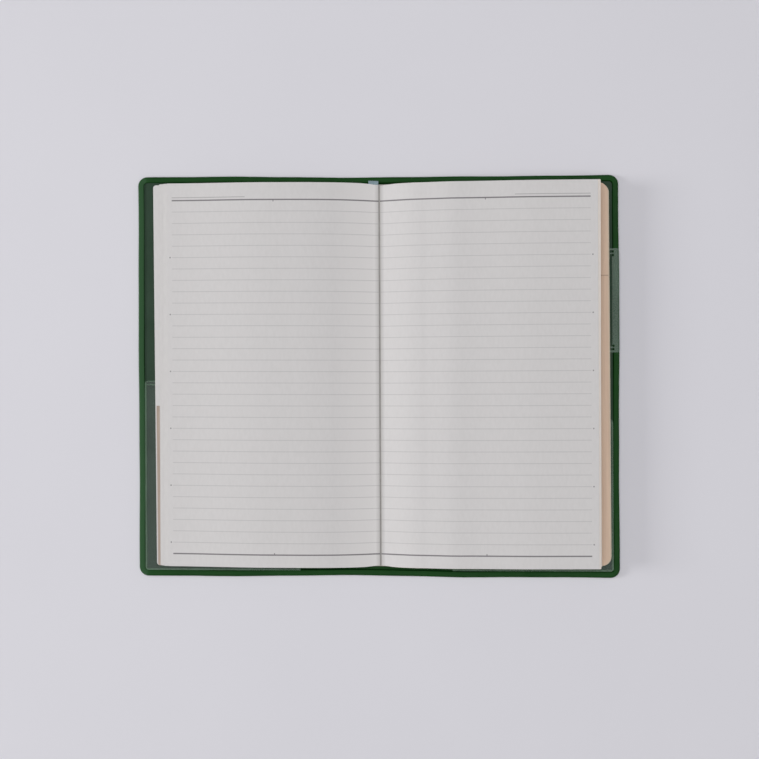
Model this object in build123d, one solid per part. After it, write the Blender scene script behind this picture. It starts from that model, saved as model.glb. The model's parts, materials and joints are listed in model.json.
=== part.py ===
from build123d import *
import os

# An address book lying open in a soft vinyl slip cover.
# X runs across the spread, Y from the tail to the head of the leaves, Z up.
# The origin is on the table, under the middle of the open cover.
# All sizes are in millimetres. The front half is on the left (side -1),
# the back half on the right (side 1).

# Leaves, and the sections that they are gathered in
leaf_height = 166.4
page_leaf_width = 90.4
index_leaf_width = 92.0
section_thickness = 1.5
section_gap = 0.1
open_leaf_thickness = 0.15
flyleaves_thickness = 0.9
page_corner_radius = 1.2
index_corner_radius = 4.0
free_fold_width = 4.5
front_section_count = 4
back_section_count = 5
front_page_shift = 1.2
front_lean = 1.17
back_page_shift = 3.2
back_lean = 0.27
front_step_height = 69.5
front_step_depth = 3.6
back_step_height = 126.0
back_step_depth = 6.0
back_step_thickness = 0.3
gutter_dip = 0.9
gutter_dip_width = 9.0
gutter_leaf_thickness = 0.3
bend_clearance = 0.15

# The sewn back of the leaves, its lining, threads and ribbon
middle_clearance = 0.5
sewn_back_height = 1.7
lining_thickness = 0.3
thread_count = 5
thread_width = 0.6
thread_height = 0.3
thread_end_margin = 14.0
ribbon_width = 4.0
ribbon_thickness = 0.25
ribbon_length_on_back = 140.0
ribbon_tuck_length = 10.0
ribbon_from_gutter = 0.5
ribbon_clearance = 0.1
ribbon_over_rim = 0.2

# The slip cover, and the insert's card that is tucked into it.
# The leaves sit a little nearer to the head of the cover than to its tail, and nearer to its right edge.
front_edge_margin = 7.6
back_edge_margin = 4.1
head_margin = 3.7
tail_margin = 4.9
cover_corner_radius = 4.0
vinyl_thickness = 0.6
card_thickness = 0.4
sleeve_thickness = 0.4
pocket_thickness = 0.3
leaf_clearance = 0.3
rim_width = 2.6
rim_height = 1.2
rim_rounding = 0.5
weld_clearance = 0.1
crease_gap = 0.35
rim_crease_gap = 1.7
card_crease_gap = 3.0
card_edge_play = 2.0
sleeve_width = 62.0
front_pocket_width = 68.0
front_pocket_height = 83.0
back_pocket_width = 70.0
back_pocket_height = 66.0
card_slot_width = 58.0
card_slot_height = 45.0
card_slot_low_y = 12.0

# How far a cutting block reaches past what it cuts
cut_margin = 1.0

# Sizes that follow from the ones above
front_stack = front_section_count * section_thickness
back_stack = back_section_count * section_thickness
back_width = front_stack + back_stack + middle_clearance
back_middle_x = (front_edge_margin - back_edge_margin) / 2
gutter_x = back_middle_x - (back_stack - front_stack) / 2
card_level = vinyl_thickness
sleeve_level = card_level + card_thickness
pocket_level = sleeve_level + sleeve_thickness
leaf_level = pocket_level + pocket_thickness + leaf_clearance
crease_level = vinyl_thickness / 2
crease_offset = leaf_level - crease_level
half_open_width = (back_width + front_edge_margin + back_edge_margin) / 2 + index_leaf_width
half_cover_height = (leaf_height + head_margin + tail_margin) / 2
leaf_head_y = half_cover_height - head_margin
leaf_tail_y = tail_margin - half_cover_height
rim_inner_x = half_open_width - rim_width
rim_inner_y = half_cover_height - rim_width
inner_corner_radius = cover_corner_radius - rim_width
lining_level = sleeve_level
sewn_back_level = lining_level + lining_thickness
sewn_back_top = sewn_back_level + sewn_back_height
ribbon_low_level = vinyl_thickness + rim_height + ribbon_over_rim

FRONT = -1
BACK = 1


def bound_edge_x(side):
    """Where the outermost leaf of one half is bound to the back."""
    return back_middle_x + side * back_width / 2


def crease_x(side):
    """Where the vinyl sheet folds when that cover is closed."""
    return bound_edge_x(side) + side * crease_offset


def block(x_ends, y_ends, z_ends):
    """A plain block between pairs of coordinates, given in any order."""
    spans = [sorted(x_ends), sorted(y_ends), sorted(z_ends)]
    size = [high - low for low, high in spans]
    middle = [(high + low) / 2 for low, high in spans]
    return Pos(*middle) * Box(*size)


def outer_corners(solid, side):
    """The upright edges at the fore-edge of a flat piece."""
    groups = solid.edges().filter_by(Axis.Z).group_by(Axis.X)
    return groups[0] if side == FRONT else groups[-1]


def half_slant(side):
    """How far in one half's plain leaves start, and how much further in they lie as they rise."""
    return (front_page_shift, front_lean) if side == FRONT else (back_page_shift, back_lean)


def section_shift(side, number):
    """How far in a section lies from the index leaves at the bottom of its half."""
    page_shift, lean = half_slant(side)
    return page_shift + lean * (number - 1) * section_thickness if number else 0


def section_hinge(side, number):
    """The axis that carries a section from open to closed without rubbing."""
    shift = section_shift(side, number)
    return bound_edge_x(side) - side * shift / 2, leaf_level + shift / 2


def section_slab(side, number, leaf_width, corner_radius, thickness):
    """The stiff part of one section, from the bend by the back to the fore-edge."""
    shift = section_shift(side, number)
    inner_x = bound_edge_x(side) + side * (free_fold_width - shift)
    outer_x = bound_edge_x(side) + side * (leaf_width - shift)
    low_z = leaf_level + number * section_thickness
    slab = block((inner_x, outer_x), (leaf_tail_y, leaf_head_y), (low_z, low_z + thickness))
    return fillet(outer_corners(slab, side), corner_radius)


def stepped_tab(slab, side, depth, thickness, low_y, high_y):
    """Index leaves whose upper ones are cut back at the fore-edge, between two heights."""
    box = slab.bounding_box()
    fore_edge_x = box.min.X if side == FRONT else box.max.X
    cut_x = (fore_edge_x - side * depth, fore_edge_x + side * cut_margin)
    return slab - block(cut_x, (low_y, high_y), (box.max.Z - thickness, box.max.Z + cut_margin))


def dip_wedge(side, inner_x, top_z):
    """What is taken off the top of a section where the page runs down to the gutter."""
    start = (inner_x, top_z - gutter_dip)
    end = (inner_x + side * gutter_dip_width, top_z)
    above = top_z + cut_margin
    dip = TangentArc(end, start, tangent=(-side, 0))
    rest = Polyline(start, (inner_x - side * cut_margin, start[1]), (inner_x - side * cut_margin, above),
                    (end[0], above), end)
    return extrude(Plane.XZ * make_face([dip, rest]), amount=leaf_height, both=True)


def dipped_section(side, number, thickness):
    """A plain section with its upper inner edge rounded down towards the gutter."""
    slab = section_slab(side, number, page_leaf_width, page_corner_radius, thickness)
    box = slab.bounding_box()
    inner_x = box.max.X if side == FRONT else box.min.X
    return slab - dip_wedge(side, inner_x, box.max.Z)


def leaf_bends(side, stack):
    """The free leaves beside the back, which bend down from the sections into the gutter."""
    def place(out, level):
        return bound_edge_x(side) + side * out, level

    page_shift, lean = half_slant(side)
    index_top = leaf_level + section_thickness - section_gap
    over_back = sewn_back_top + ribbon_thickness + bend_clearance
    page_end = leaf_level + stack - section_gap - gutter_dip
    end_slope = 2 * gutter_dip / gutter_dip_width
    index_end = free_fold_width - bend_clearance
    page_end_x = index_end - page_shift
    low_outer = place(index_end, leaf_level)
    index_corner = place(index_end, index_top)
    page_corner = place(page_end_x, index_top)
    low_inner = place(bend_clearance, leaf_level)
    back_corner = place(bend_clearance, over_back)
    gutter_low = place(-stack, over_back)
    gutter_top = place(-stack, over_back + gutter_leaf_thickness)
    top_outer = place(page_end_x - lean * (page_end - leaf_level - section_thickness), page_end)
    page = TangentArc(top_outer, gutter_top, tangent=(-side, -end_slope))
    rest = Polyline(gutter_top, gutter_low, back_corner, low_inner, low_outer, index_corner, page_corner,
                    top_outer)
    profile = Plane.XZ.offset(-leaf_head_y) * make_face([page, rest])
    return extrude(profile, amount=leaf_height)


parts = {}


def add_sections(name, side, count, corner_radius):
    """One half's sections: index leaves lowest, plain sections above, and the open leaf on top."""
    thickness = section_thickness - section_gap
    top_number = count - 1
    parts[f"{name}_index_leaves"] = section_slab(side, 0, index_leaf_width, corner_radius, thickness)
    for number in range(1, top_number):
        parts[f"{name}_page_section_{number}"] = section_slab(
            side, number, page_leaf_width, page_corner_radius, thickness)
    top_section = dipped_section(side, top_number, thickness - open_leaf_thickness)
    parts[f"{name}_page_section_{top_number}"] = top_section
    parts[f"{name}_open_leaf"] = dipped_section(side, top_number, thickness) - top_section
    parts[f"{name}_leaf_bends"] = leaf_bends(side, count * section_thickness)


def add_flyleaves():
    """Plain flyleaves, which take the lower part of the room of the front's index leaves."""
    flyleaves = section_slab(FRONT, 0, index_leaf_width, page_corner_radius, flyleaves_thickness)
    parts["front_flyleaves"] = flyleaves
    parts["front_index_leaves"] -= flyleaves


def cut_index_steps():
    """The index steps that show: the lower half in front, the upper tab at the back."""
    front_name = "front_index_leaves"
    back_name = "back_index_leaves"
    front_step_y = leaf_tail_y + front_step_height
    back_step_y = leaf_tail_y + back_step_height
    parts[front_name] = stepped_tab(parts[front_name], FRONT, front_step_depth, section_thickness,
                                    front_step_y, leaf_height)
    parts[back_name] = stepped_tab(parts[back_name], BACK, back_step_depth, back_step_thickness,
                                   -leaf_height, back_step_y)


def add_back():
    """The sewn leaves' back, its cloth lining, the card behind it, threads and ribbon."""
    x_ends = (bound_edge_x(FRONT), bound_edge_x(BACK))
    y_ends = (leaf_tail_y, leaf_head_y)
    ribbon_right_x = gutter_x - ribbon_from_gutter
    ribbon_ends = (ribbon_right_x - ribbon_width, ribbon_right_x)
    slot_x_ends = (ribbon_ends[0] - ribbon_clearance, ribbon_ends[1] + ribbon_clearance)
    tuck_y = leaf_head_y - ribbon_tuck_length
    sewn_back = block(x_ends, y_ends, (sewn_back_level, sewn_back_top))
    slot_low = ribbon_low_level - ribbon_clearance
    slot_high = ribbon_low_level + ribbon_thickness + ribbon_clearance
    sewn_back -= block(slot_x_ends, (tuck_y, leaf_height), (slot_low, slot_high))
    threads = []
    thread_pitch = (leaf_height - 2 * thread_end_margin) / (thread_count - 1)
    for stitch in range(thread_count):
        stitch_y = leaf_tail_y + thread_end_margin + stitch * thread_pitch
        thread_ends = (stitch_y - thread_width / 2, stitch_y + thread_width / 2)
        thread = block(x_ends, thread_ends, (sewn_back_level, sewn_back_level + thread_height))
        sewn_back -= thread
        threads.append(thread)
    parts["sewn_back"] = sewn_back
    parts["sewing_threads"] = Compound(children=threads)
    parts["back_lining"] = block(x_ends, y_ends, (lining_level, sewn_back_level))
    parts["spine_card"] = block(x_ends, (-rim_inner_y + card_edge_play, rim_inner_y - card_edge_play),
                                (card_level, lining_level))
    parts["ribbon_marker"] = ribbon(ribbon_ends, tuck_y)


def ribbon(x_ends, tuck_y):
    """A woven ribbon, glued into the back and led over its head, above the rim, into the gutter."""
    top_level = sewn_back_top + ribbon_thickness
    turn_radius = (top_level - ribbon_low_level) / 2
    on_back = (leaf_head_y - ribbon_length_on_back, leaf_head_y)
    lying = block(x_ends, on_back, (sewn_back_top, top_level))
    tucked = block(x_ends, (tuck_y, leaf_head_y), (ribbon_low_level, ribbon_low_level + ribbon_thickness))
    turn_middle_x = (x_ends[0] + x_ends[1]) / 2
    turn_place = Pos(turn_middle_x, leaf_head_y, ribbon_low_level + turn_radius) * Rot(0, 90, 0)
    turn = turn_place * Cylinder(turn_radius, ribbon_width)
    turn -= turn_place * Cylinder(turn_radius - ribbon_thickness, ribbon_width)
    turn -= block(x_ends, (leaf_tail_y, leaf_head_y), (ribbon_low_level, top_level))
    return lying + turn + tucked


def cover_outline(side, inset, inner_x):
    """One half of the cover's outline in plan, from near the crease to the rounded corners."""
    outer_x = side * (half_open_width - inset)
    high_y = half_cover_height - inset
    return block((inner_x, outer_x), (-high_y, high_y), (0, vinyl_thickness))


def add_spine_cover():
    """The cover's spine: the sheet between the creases and its two rims."""
    x_ends = (crease_x(FRONT) + crease_gap, crease_x(BACK) - crease_gap)
    rim_x_ends = (crease_x(FRONT) + rim_crease_gap, crease_x(BACK) - rim_crease_gap)
    rim_z_ends = (vinyl_thickness, vinyl_thickness + rim_height)
    parts["spine_sheet"] = block(x_ends, (-half_cover_height, half_cover_height), (0, vinyl_thickness))
    rims = []
    for end in (-1, 1):
        rim = block(rim_x_ends, (end * rim_inner_y, end * half_cover_height), rim_z_ends)
        top_edges = rim.faces().sort_by(Axis.Z)[-1].edges().filter_by(Axis.X)
        rims.append(fillet(top_edges, rim_rounding))
    parts["spine_rims"] = Compound(children=rims)


def add_cover(name, side):
    """One cover: the outer sheet, the welded rim, the tucked card and the inner sleeve."""
    sheet = cover_outline(side, 0, crease_x(side) + side * crease_gap)
    parts[f"{name}_cover_sheet"] = fillet(outer_corners(sheet, side), cover_corner_radius)

    rim_x = crease_x(side) + side * rim_crease_gap
    rim_block = block((rim_x, side * half_open_width), (-half_cover_height, half_cover_height),
                      (vinyl_thickness, vinyl_thickness + rim_height))
    rim = fillet(outer_corners(rim_block, side), cover_corner_radius)
    hollow = block((rim_x - side * cut_margin, side * rim_inner_x), (-rim_inner_y, rim_inner_y),
                   (vinyl_thickness - cut_margin, vinyl_thickness + rim_height + cut_margin))
    rim -= fillet(outer_corners(hollow, side), inner_corner_radius)
    top_face = rim.faces().sort_by(Axis.Z)[-1]
    end_edges = top_face.edges().filter_by(Axis.Y).group_by(Axis.X)
    crease_ends = end_edges[-1] if side == FRONT else end_edges[0]
    rounded = [edge for edge in top_face.edges() if edge not in crease_ends]
    parts[f"{name}_cover_rim"] = fillet(rounded, rim_rounding)

    card_y = rim_inner_y - card_edge_play
    card = block((crease_x(side) + side * card_crease_gap, side * (rim_inner_x - card_edge_play)),
                 (-card_y, card_y), (card_level, sleeve_level))
    parts[f"{name}_card"] = fillet(outer_corners(card, side), inner_corner_radius)

    parts[f"{name}_sleeve"] = inner_sheet(side, sleeve_width, -rim_inner_y, rim_inner_y,
                                          sleeve_level, sleeve_thickness)


def inner_sheet(side, width, low_y, high_y, level, thickness):
    """A flat sheet that lies inside the rim, from the fore-edge inwards."""
    outer_x = side * (rim_inner_x - weld_clearance)
    low = max(low_y, -rim_inner_y + weld_clearance)
    high = min(high_y, rim_inner_y - weld_clearance)
    sheet = block((outer_x, outer_x - side * width), (low, high), (level, level + thickness))
    return fillet(outer_corners(sheet, side), inner_corner_radius)


def add_pockets():
    """Clear pockets on the sleeves: one low on each cover, and a card slot higher on the back."""
    front_top = -rim_inner_y + front_pocket_height
    back_top = -rim_inner_y + back_pocket_height
    slot_top = card_slot_low_y + card_slot_height
    parts["front_clear_pocket"] = inner_sheet(FRONT, front_pocket_width, -rim_inner_y, front_top,
                                              pocket_level, pocket_thickness)
    parts["back_clear_pocket"] = inner_sheet(BACK, back_pocket_width, -rim_inner_y, back_top,
                                             pocket_level, pocket_thickness)
    parts["back_card_slot"] = inner_sheet(BACK, card_slot_width, card_slot_low_y, slot_top,
                                          pocket_level, pocket_thickness)


add_spine_cover()
add_cover("front", FRONT)
add_cover("back", BACK)
add_pockets()
add_back()
add_sections("front", FRONT, front_section_count, page_corner_radius)
add_sections("back", BACK, back_section_count, index_corner_radius)
add_flyleaves()
cut_index_steps()

os.makedirs("parts", exist_ok=True)
for node, solid in parts.items():
    export_step(solid, f"parts/{node}.step")

print("crease front", crease_x(FRONT), "back", crease_x(BACK), "level", crease_level)
for number in range(front_section_count):
    print("front section hinge", number, section_hinge(FRONT, number))
for number in range(back_section_count):
    print("back section hinge", number, section_hinge(BACK, number))
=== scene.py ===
# %% [markdown]
# # An address book lying open
#
# The real book is a block of thin leaves, sewn at the back, in a soft green slip cover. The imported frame
# already holds every piece at its size and place. This lesson gives those pieces their looks: a welded
# vinyl cover, clear pockets, a fan of separate leaves, a ruled spread and a ribbon.

# %% Load the frame
import json
import math
import random
from bisect import bisect

import bmesh
import bpy
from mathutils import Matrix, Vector
from mathutils.geometry import interpolate_bezier


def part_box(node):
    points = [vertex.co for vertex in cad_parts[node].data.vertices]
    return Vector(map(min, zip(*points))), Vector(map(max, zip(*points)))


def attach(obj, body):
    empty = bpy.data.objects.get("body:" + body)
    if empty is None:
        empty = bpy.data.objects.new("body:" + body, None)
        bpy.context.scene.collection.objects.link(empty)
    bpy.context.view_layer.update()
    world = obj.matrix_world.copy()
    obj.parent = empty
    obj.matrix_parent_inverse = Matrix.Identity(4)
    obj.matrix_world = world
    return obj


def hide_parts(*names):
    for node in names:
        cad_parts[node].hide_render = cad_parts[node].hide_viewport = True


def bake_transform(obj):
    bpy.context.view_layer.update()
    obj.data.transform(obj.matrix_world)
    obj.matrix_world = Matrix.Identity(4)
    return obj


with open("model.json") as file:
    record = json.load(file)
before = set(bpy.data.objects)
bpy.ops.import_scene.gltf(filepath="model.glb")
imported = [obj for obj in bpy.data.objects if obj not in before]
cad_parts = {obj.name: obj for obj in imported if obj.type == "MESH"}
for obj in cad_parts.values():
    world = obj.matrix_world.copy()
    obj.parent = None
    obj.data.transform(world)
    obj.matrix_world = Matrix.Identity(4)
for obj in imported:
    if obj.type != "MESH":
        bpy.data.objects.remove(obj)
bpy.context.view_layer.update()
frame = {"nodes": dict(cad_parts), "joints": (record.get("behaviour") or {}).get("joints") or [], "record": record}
MM = 0.001
print("nodes in the frame:", len(frame["nodes"]))

# %% [markdown]
# ## Measure the frame
#
# Every place below comes from the frame, so a changed size in the model carries through to the looks. The
# front half of the book lies on the left and the back half on the right, so a side is -1 or 1. A used book is
# never quite square, so the cover and the leaves are all racked by the same small share.

# %% Measure the frame
SIDES = {"front": -1, "back": 1}
joints = {joint["name"]: joint for joint in frame["joints"]}
bodies = frame["record"]["behaviour"]["bodies"]
body_of_node = {node: body for body, nodes in bodies.items() for node in nodes}
crease_x = {half: joints[f"{half}_cover_fold"]["pos_m"][0] for half in SIDES}
sewn_low, sewn_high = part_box("sewn_back")
bound_x = {"front": sewn_low.x, "back": sewn_high.x}
spine_middle_x = (sewn_low.x + sewn_high.x) / 2
gutter_x = (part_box("front_leaf_bends")[1].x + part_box("back_leaf_bends")[0].x) / 2
leaf_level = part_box("front_flyleaves")[0].z
leaf_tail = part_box("front_open_leaf")[0].y
leaf_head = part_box("front_open_leaf")[1].y
leaf_middle = (leaf_tail + leaf_head) / 2
leaf_half = (leaf_head - leaf_tail) / 2
open_height = {half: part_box(f"{half}_open_leaf")[1].z - leaf_level for half in SIDES}
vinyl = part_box("front_cover_sheet")[1].z
rim_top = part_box("front_cover_rim")[1].z
cover_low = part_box("front_cover_sheet")[0]
cover_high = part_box("back_cover_sheet")[1]
rack = 0.0045
touch = 0.01 * MM


def racked(x, y):
    """Where a point lies across, with the head of the book a trifle left of its tail."""
    return x - rack * y


def racked_point(x, y, z):
    """A point of the racked book."""
    return Vector((racked(x, y), y, z))


def ends_across(half, low, high):
    """The inner and the outer end of a box in one half, seen from the spine."""
    return (high.x, low.x) if half == "front" else (low.x, high.x)


print("leaves", round(2 * leaf_half / MM, 1), "mm high, rim", round(rim_top / MM, 2), "mm")

# %% [markdown]
# ## Hands for modelling
#
# Modelling by hand in Blender is three moves over and over: add a primitive, pick some of its points, edges
# or faces, and act on what is picked. These helpers do the same with nothing else selected, because an
# operator acts on everything that is.

# %% Hands for modelling
def start_piece(name, add_primitive, extent=(1, 1, 1), middle=(0, 0, 0), size=1, **settings):
    """Adds a primitive by itself, names it, opens it for editing, and gives it its extent and place."""
    bpy.ops.object.select_all(action="DESELECT")
    add_primitive(size=size, **settings)
    piece = bpy.context.object
    piece.name = name
    piece.data.name = name
    bpy.ops.object.mode_set(mode="EDIT")
    bpy.ops.transform.resize(value=extent)
    bpy.ops.transform.translate(value=middle)
    return piece


def pick(piece, kind, test):
    """In edit mode, selects the points, edges or faces that pass a test."""
    bpy.ops.mesh.select_mode(type=kind)
    bpy.ops.mesh.select_all(action="DESELECT")
    mesh = bmesh.from_edit_mesh(piece.data)
    items = {"VERT": mesh.verts, "EDGE": mesh.edges, "FACE": mesh.faces}[kind]
    for item in items:
        if test(item):
            item.select_set(True)
    mesh.select_flush_mode()
    bmesh.update_edit_mesh(piece.data)


def cut_lines(piece, direction, places):
    """In edit mode, cuts lines of new points right across a piece."""
    for place in places:
        bpy.ops.mesh.select_all(action="SELECT")
        bpy.ops.mesh.bisect(plane_co=Vector(direction) * place, plane_no=direction)


def select_only(piece):
    """Leaves edit mode, and selects one piece by itself."""
    if bpy.context.object and bpy.context.object.mode != "OBJECT":
        bpy.ops.object.mode_set(mode="OBJECT")
    bpy.ops.object.select_all(action="DESELECT")
    piece.select_set(True)
    bpy.context.view_layer.objects.active = piece


def edit_piece(piece):
    """Selects one piece by itself and opens it for editing."""
    select_only(piece)
    bpy.ops.object.mode_set(mode="EDIT")


def apply_modifier(piece, kind, **settings):
    """Adds a modifier to a piece, sets it and applies it."""
    select_only(piece)
    modifier = piece.modifiers.new(kind.lower(), kind)
    for key, value in settings.items():
        setattr(modifier, key, value)
    bpy.ops.object.modifier_apply(modifier=modifier.name)


def thicken(piece, thickness, offset=-1):
    """Gives a sheet its thickness, by default below the modelled face."""
    apply_modifier(piece, "SOLIDIFY", thickness=thickness, offset=offset)


def copy_piece(piece, name):
    """A copy of a piece with a mesh of its own."""
    twin = piece.copy()
    twin.data = piece.data.copy()
    twin.name = name
    twin.data.name = name
    bpy.context.scene.collection.objects.link(twin)
    return twin


def mould(piece, rule):
    """Moves every point of a piece to where a rule puts it."""
    for point in piece.data.vertices:
        point.co = rule(point.co)


def smooth_step(value):
    """Rises gently from 0 to 1."""
    value = min(max(value, 0.0), 1.0)
    return value * value * (3 - 2 * value)


def waves(place, *parts):
    """A sum of waves along a line; each part is its size, its length in mm and its start."""
    return sum(size * math.sin(place / (length * MM) + start) for size, length, start in parts)


def spread(low, high, count):
    """Evenly spaced places between two ends, both included."""
    return [low + (high - low) * step / (count - 1) for step in range(count)]


def dress(piece, slot_name, *finishes, angle=35):
    """Smooths the shading except at sharp edges, and gives the piece its finishes."""
    select_only(piece)
    bpy.ops.object.shade_smooth_by_angle(angle=math.radians(angle))
    if not piece.data.materials:
        for finish in finishes:
            piece.data.materials.append(finish)
    print(piece.name, "has", len(piece.data.polygons), "faces")


# %% [markdown]
# ## Hands for finishes
#
# A finish is a small graph of nodes around the Principled shader. Patterns read Object coordinates, which are
# in metres here, so a noise scale of 1000 makes spots of about a millimetre.

# %% Hands for finishes
def new_finish(name, **sockets):
    """A material whose shader sockets hold the values that are the same all over."""
    finish = bpy.data.materials.new(name)
    finish.use_nodes = True
    shader = finish.node_tree.nodes["Principled BSDF"]
    for key, value in sockets.items():
        shader.inputs[key.replace("_", " ")].default_value = value
    return finish, finish.node_tree, shader


def add_node(tree, kind, settings=None, **sockets):
    """Adds a node; a socket takes a value, or a link from another node's output."""
    node = tree.nodes.new(kind)
    for key, value in (settings or {}).items():
        setattr(node, key, value)
    for key, value in sockets.items():
        socket = node.inputs[int(key[1:])] if key[1:].isdigit() else node.inputs[key.replace("_", " ")]
        if isinstance(value, bpy.types.NodeSocket):
            tree.links.new(value, socket)
        else:
            socket.default_value = value
    return node


def object_noise(tree, scale, detail=3.0, stretch=(1, 1, 1)):
    """Noise in the piece's own space, stretched along an axis if asked."""
    place = add_node(tree, "ShaderNodeTexCoord").outputs["Object"]
    if stretch != (1, 1, 1):
        place = add_node(tree, "ShaderNodeMapping", Vector=place, Scale=stretch).outputs["Vector"]
    noise = add_node(tree, "ShaderNodeTexNoise", Vector=place, Scale=scale, Detail=detail)
    return noise.outputs["Fac"]


def ramp(tree, value, low, high, out_low=0.0, out_high=1.0):
    """Maps one range of a value to another, held at both ends."""
    ends = {"From_Min": low, "From_Max": high, "To_Min": out_low, "To_Max": out_high}
    return add_node(tree, "ShaderNodeMapRange", Value=value, **ends).outputs["Result"]


def mix(tree, share, first, second):
    """A colour between two colours."""
    node = add_node(tree, "ShaderNodeMix", {"data_type": "RGBA"}, _0=share, _6=first, _7=second)
    return node.outputs[2]


def math_node(tree, operation, first, second=0.0):
    """Arithmetic on two values."""
    return add_node(tree, "ShaderNodeMath", {"operation": operation}, _0=first, _1=second).outputs[0]


def times(tree, first, second):
    """The product of two values."""
    return math_node(tree, "MULTIPLY", first, second)


def larger(tree, first, second):
    """The larger of two values."""
    return math_node(tree, "MAXIMUM", first, second)


def apart(tree, first, second):
    """How far two values are from each other."""
    return math_node(tree, "ABSOLUTE", math_node(tree, "SUBTRACT", first, second))


def feed(tree, shader, **links):
    """Links patterns to the shader's sockets."""
    for key, value in links.items():
        tree.links.new(value, shader.inputs[key.replace("_", " ")])


def add_bump(tree, shader, height, strength, depth):
    """Lets a pattern catch the light as fine relief."""
    bump = add_node(tree, "ShaderNodeBump", Height=height, Strength=strength, Distance=depth)
    feed(tree, shader, Normal=bump.outputs["Normal"])


# %% [markdown]
# ## Green vinyl
#
# The cover is soft vinyl sheet with a fine pressed grain, a little lighter where it is worn. A flat green
# would look like paint, so broad clouds and the grain shift the colour, and a third noise varies the
# roughness, because a worn sheet is never evenly shiny. Along its front edge the cover is painted lighter,
# as painted light from the window on the left; how much a place gets is stored on the cover's points.

# %% Green vinyl
lit_edge_green = (0.028, 0.083, 0.032, 1)
cloud_scale = 55
patch_scale = 260
grain_scale = 1500
grain_depth = 0.05 * MM


def green_vinyl(name, deep, worn, rough_low, rough_high):
    """Soft green sheet with a fine grain, cloudy wear and painted light along the front edge."""
    finish, tree, shader = new_finish(name, Specular_IOR_Level=0.10)
    clouds = ramp(tree, object_noise(tree, cloud_scale, 4), 0.3, 0.7)
    grain = object_noise(tree, grain_scale, 2)
    shift = math_node(tree, "MULTIPLY_ADD", clouds, 0.75)
    tree.links.new(ramp(tree, grain, 0.35, 0.65, 0.0, 0.25), shift.node.inputs[2])
    # Painted light: where the cover stores it, the green is mixed towards a lighter one.
    thumbed = add_node(tree, "ShaderNodeAttribute", {"attribute_name": "thumbed"}).outputs["Fac"]
    tone = mix(tree, thumbed, mix(tree, shift, deep, worn), lit_edge_green)
    patches = ramp(tree, object_noise(tree, patch_scale, 3), 0.3, 0.7, rough_low, rough_high)
    feed(tree, shader, Base_Color=tone, Roughness=patches)
    add_bump(tree, shader, grain, 0.25, grain_depth)
    return finish


cover_vinyl = green_vinyl("cover_vinyl", (0.0025, 0.0365, 0.0030, 1), (0.0060, 0.0525, 0.0062, 1),
                          0.32, 0.48)
sleeve_vinyl = green_vinyl("sleeve_vinyl", (0.022, 0.046, 0.027, 1), (0.032, 0.059, 0.038, 1), 0.45, 0.62)
print("vinyl finishes:", cover_vinyl.name, sleeve_vinyl.name)

# %% [markdown]
# ## The slip cover
#
# On the real book the cover is one sheet, with a bead all round where the inner sleeves are welded on. It
# could be three stiff plates, as in the frame, but vinyl bends. So the whole open cover is modelled as one
# blank: a plane with rounded corners, extruded to a sheet, inset for the bead, and the bead extruded and
# bevelled. Lines cut across it near the creases give it somewhere to bend.

# %% The slip cover
corner_radius = 4.0 * MM
weld_gap = 0.1 * MM
rim_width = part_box("front_sleeve")[0].x - cover_low.x - weld_gap
outer_rounding = 0.75 * MM
inner_rounding = 0.35 * MM
foot_rounding = 0.2 * MM
fold_half = 4.0 * MM
fold_lines = 13
plain_start = 9 * MM
plain_reach = 0.94
plain_lines = 10
height_reach = 0.93
height_lines = 20
centre_clear = 10 * MM


def is_bead_top(face):
    """A face that looks up from the bead, so its middle is far from the cover's middle."""
    return face.normal.z > 0.9 and face.calc_center_median().xy.length > centre_clear


def is_bead_edge(edge, inwards):
    """An edge along the top of the bead, beside an upright side that faces inwards or outwards."""
    on_top = all(abs(point.co.z - rim_top) < touch for point in edge.verts)
    sides = [face for face in edge.link_faces if abs(face.normal.z) < 0.5]
    return on_top and any((face.normal.dot(face.calc_center_median()) < 0) == inwards for face in sides)


def is_foot_edge(edge):
    """An edge round the bottom of the sheet."""
    return all(abs(point.co.z) < touch for point in edge.verts)


cover = start_piece("cover_blank", bpy.ops.mesh.primitive_plane_add,
                    extent=(cover_high.x - cover_low.x, cover_high.y - cover_low.y, 1))
bpy.ops.mesh.bevel(offset=corner_radius, segments=8, affect="VERTICES")
bpy.ops.mesh.select_all(action="SELECT")
bpy.ops.mesh.extrude_region_move(TRANSFORM_OT_translate={"value": (0, 0, vinyl)})
bpy.ops.mesh.inset(thickness=rim_width)
bpy.ops.mesh.select_all(action="SELECT")
bpy.ops.mesh.normals_make_consistent(inside=False)
pick(cover, "FACE", is_bead_top)
bpy.ops.mesh.extrude_region_move(TRANSFORM_OT_translate={"value": (0, 0, rim_top - vinyl)})
pick(cover, "EDGE", lambda edge: is_bead_edge(edge, inwards=False))
bpy.ops.mesh.bevel(offset=outer_rounding, segments=4)
pick(cover, "EDGE", lambda edge: is_bead_edge(edge, inwards=True))
bpy.ops.mesh.bevel(offset=inner_rounding, segments=3)
pick(cover, "EDGE", is_foot_edge)
bpy.ops.mesh.bevel(offset=foot_rounding, segments=2)
for half, side in SIDES.items():
    fold_ends = (crease_x[half] - fold_half, crease_x[half] + fold_half)
    cut_lines(cover, (1, 0, 0), spread(*fold_ends, fold_lines))
    plain_ends = (crease_x[half] + side * plain_start, side * cover_high.x * plain_reach)
    cut_lines(cover, (1, 0, 0), spread(*plain_ends, plain_lines))
cut_lines(cover, (0, 1, 0), spread(cover_low.y * height_reach, cover_high.y * height_reach, height_lines))
select_only(cover)
print("cover blank:", len(cover.data.vertices), "points")
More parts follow.
